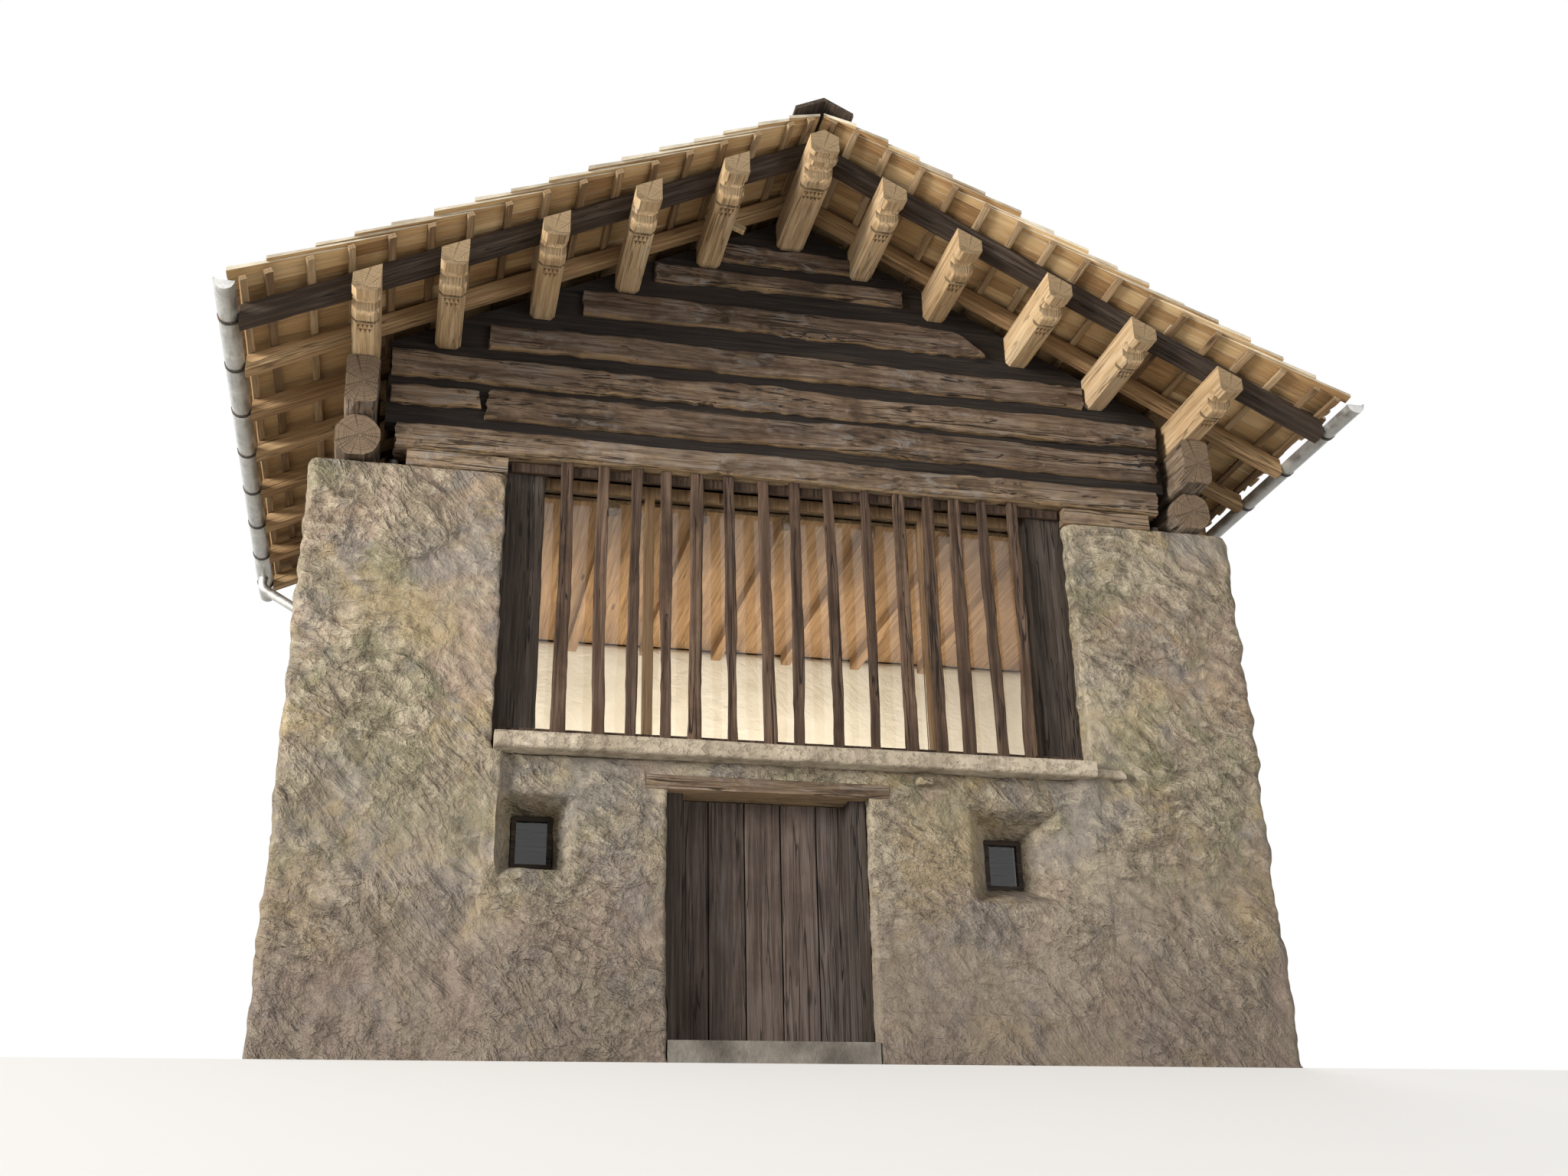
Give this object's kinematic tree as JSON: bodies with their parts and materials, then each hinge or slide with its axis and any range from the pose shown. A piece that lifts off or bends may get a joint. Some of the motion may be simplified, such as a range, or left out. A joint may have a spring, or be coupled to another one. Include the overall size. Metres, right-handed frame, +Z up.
{
  "type": "stone and log granary barn",
  "caption": "Alpine granary barn: rough-cast ground storey with an inward door, slatted loft between two masonry piers, hewn log gable, shingle roof on carved purlins.",
  "frame": {"origin": "on the level ground at the middle of the masonry footprint, under the ground floor", "axes": "+X along the front to the right, -Y is the side the gable front faces, +Z up"},
  "size_m": [7.9972, 5.04, 6.6891],
  "materials": {
    "rough_cast": "coarse lime rough-cast over rubble masonry, hand trowelled, weathered",
    "sill_mortar": "smooth pale lime mortar with a rounded nose",
    "flagstone": "worn grey flagstone",
    "weathered_log": "hewn logs, weathered dark brown and grey, checked",
    "dark_board": "dark stained and sooty boards",
    "slat_wood": "old rough-sawn slats, dark and dry",
    "door_wood": "old planed boards, dark brown",
    "new_timber": "planed pale spruce",
    "interior_timber": "planed brown boards",
    "shingle": "split larch shingles, silvered on top",
    "pane_glass": "clear window glass",
    "zinc": "dull zinc sheet",
    "iron": "dark forged and painted iron"
  },
  "bodies": {
    "house": {"pier_left": "rough_cast", "pier_right": "rough_cast", "front_wall_left": "rough_cast", "front_wall_right": "rough_cast", "front_wall_over_door": "rough_cast", "left_wall": "rough_cast", "right_wall": "rough_cast", "rear_wall": "rough_cast", "ground_floor": "flagstone", "door_lintel": "weathered_log", "door_frame": "door_wood", "threshold": "flagstone", "door_pintles": "iron", "sill_ledge": "sill_mortar", "front_posts": "dark_board", "slat_screen": "slat_wood", "window_frame": "interior_timber", "window_glass": "pane_glass", "small_window_frames": "interior_timber", "upper_joists": "interior_timber", "upper_floor": "interior_timber", "ceiling": "interior_timber", "pier_pads": "weathered_log", "lintel_beam": "weathered_log", "front_gable_wall": "dark_board", "front_gable_logs": "weathered_log", "rear_gable_wall": "weathered_log", "wall_logs_left": "weathered_log", "wall_logs_right": "weathered_log", "ridge_purlin": "new_timber", "purlins_left": "new_timber", "purlins_right": "new_timber", "verge_rafters": "dark_board", "rafters": "new_timber", "battens": "new_timber", "shingles_left": "shingle", "shingles_right": "shingle", "ridge_cap": "dark_board", "gutters": "zinc", "gutter_brackets": "iron", "downpipes": "zinc", "pier_lamps": "iron"},
    "door": {"door_leaf": "door_wood", "door_straps": "iron"}
  },
  "joints": [
    {"name": "door_hinge", "type": "hinge", "parent": "house", "child": "door", "pos_m": [-0.878, -1.45, 0], "axis": [0, 0, 1], "range_deg": [0, 95]}
  ]
}
